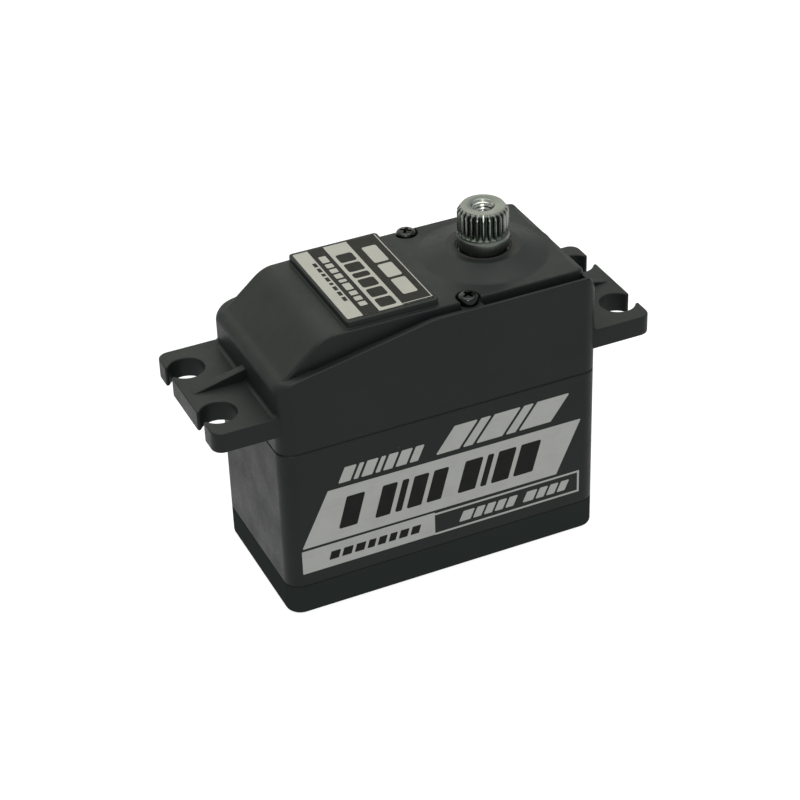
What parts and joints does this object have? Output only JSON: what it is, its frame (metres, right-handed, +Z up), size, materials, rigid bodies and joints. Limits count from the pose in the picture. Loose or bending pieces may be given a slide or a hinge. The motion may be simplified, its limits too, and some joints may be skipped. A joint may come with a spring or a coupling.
{
  "type": "servo motor",
  "caption": "Geared position servo: upright rectangular case with slotted mounting ears and a splined output shaft that turns through a limited angle.",
  "frame": {"origin": "centre of the case footprint, on the underside of the bottom cover", "axes": "+X along the case towards the output shaft end, +Y across the case away from the large side label, +Z up along the output shaft"},
  "size_m": [0.0546, 0.02, 0.0419],
  "materials": {
    "case_black": "satin moulded black",
    "label_silver": "brushed silver foil print",
    "label_black": "printed film",
    "rubber_black": "matt",
    "screw_black": "black oxide",
    "steel_bright": "ground and turned",
    "steel_gear": "hardened",
    "brass_gear": "machined",
    "steel_can": "nickel plated",
    "plastic_grey": "moulded",
    "magnet_grey": "nickel plated magnet",
    "copper_wire": "enamelled winding",
    "board_green": "solder mask",
    "can_foil": "sleeved can"
  },
  "bodies": {
    "housing": {"bottom_cover": "case_black", "middle_case": "case_black", "upper_case": "case_black", "top_label": "label_silver", "side_label": "label_black", "cable_gland": "rubber_black", "shaft_seal": "rubber_black", "case_screw_1": "screw_black", "case_screw_2": "screw_black", "case_screw_3": "screw_black", "case_screw_4": "screw_black", "top_screw_near": "screw_black", "top_screw_far": "screw_black", "upper_bearing_outer": "steel_bright", "upper_bearing_balls": "steel_bright", "lower_bearing_outer": "steel_bright", "lower_bearing_balls": "steel_bright", "middle_pin": "steel_bright", "idler_pin": "steel_bright", "motor_can": "steel_can", "motor_end_cap": "plastic_grey", "motor_bush": "brass_gear", "motor_magnet": "magnet_grey", "motor_screw_1": "screw_black", "motor_screw_2": "screw_black", "sensor_body": "plastic_grey", "sensor_lead_1": "rubber_black", "sensor_lead_2": "rubber_black", "sensor_lead_3": "rubber_black", "circuit_board": "board_green", "board_chip": "plastic_grey", "board_driver_1": "plastic_grey", "board_driver_2": "plastic_grey", "board_capacitor": "can_foil"},
    "output": {"output_shaft": "steel_bright", "output_gear": "steel_gear", "upper_bearing_inner": "steel_bright", "lower_bearing_inner": "steel_bright", "sensor_shaft": "plastic_grey"},
    "gear_3": {"gear_3": "steel_gear"},
    "gear_2": {"gear_2": "steel_gear"},
    "gear_1": {"gear_1": "brass_gear"},
    "rotor": {"motor_winding": "copper_wire", "motor_shaft": "steel_bright", "motor_pinion": "brass_gear"}
  },
  "joints": [
    {"name": "output_turn", "type": "hinge", "parent": "housing", "child": "output", "pos_m": [0.0101, 0, 0.0315], "axis": [0, 0, 1], "range_deg": [-60, 60]},
    {"name": "gear_3_turn", "type": "hinge", "parent": "housing", "child": "gear_3", "pos_m": [0.0001, 0, 0.03], "axis": [0, 0, 1], "range_deg": [-185, 185]},
    {"name": "gear_2_turn", "type": "hinge", "parent": "housing", "child": "gear_2", "pos_m": [-0.0079, 0, 0.027], "axis": [0, 0, 1], "range_deg": [-555, 555]},
    {"name": "gear_1_turn", "type": "hinge", "parent": "housing", "child": "gear_1", "pos_m": [0.0001, 0, 0.024], "axis": [0, 0, 1], "range_deg": [-2220, 2220]},
    {"name": "rotor_turn", "type": "hinge", "parent": "housing", "child": "rotor", "pos_m": [-0.0089, 0, 0.015], "axis": [0, 0, 1], "range_deg": [-11100, 11100]}
  ],
  "couplings": [
    {"joint": "gear_3_turn", "follows": "output_turn", "ratio": -3},
    {"joint": "gear_2_turn", "follows": "output_turn", "ratio": 9},
    {"joint": "gear_1_turn", "follows": "output_turn", "ratio": -36},
    {"joint": "rotor_turn", "follows": "output_turn", "ratio": 180}
  ]
}
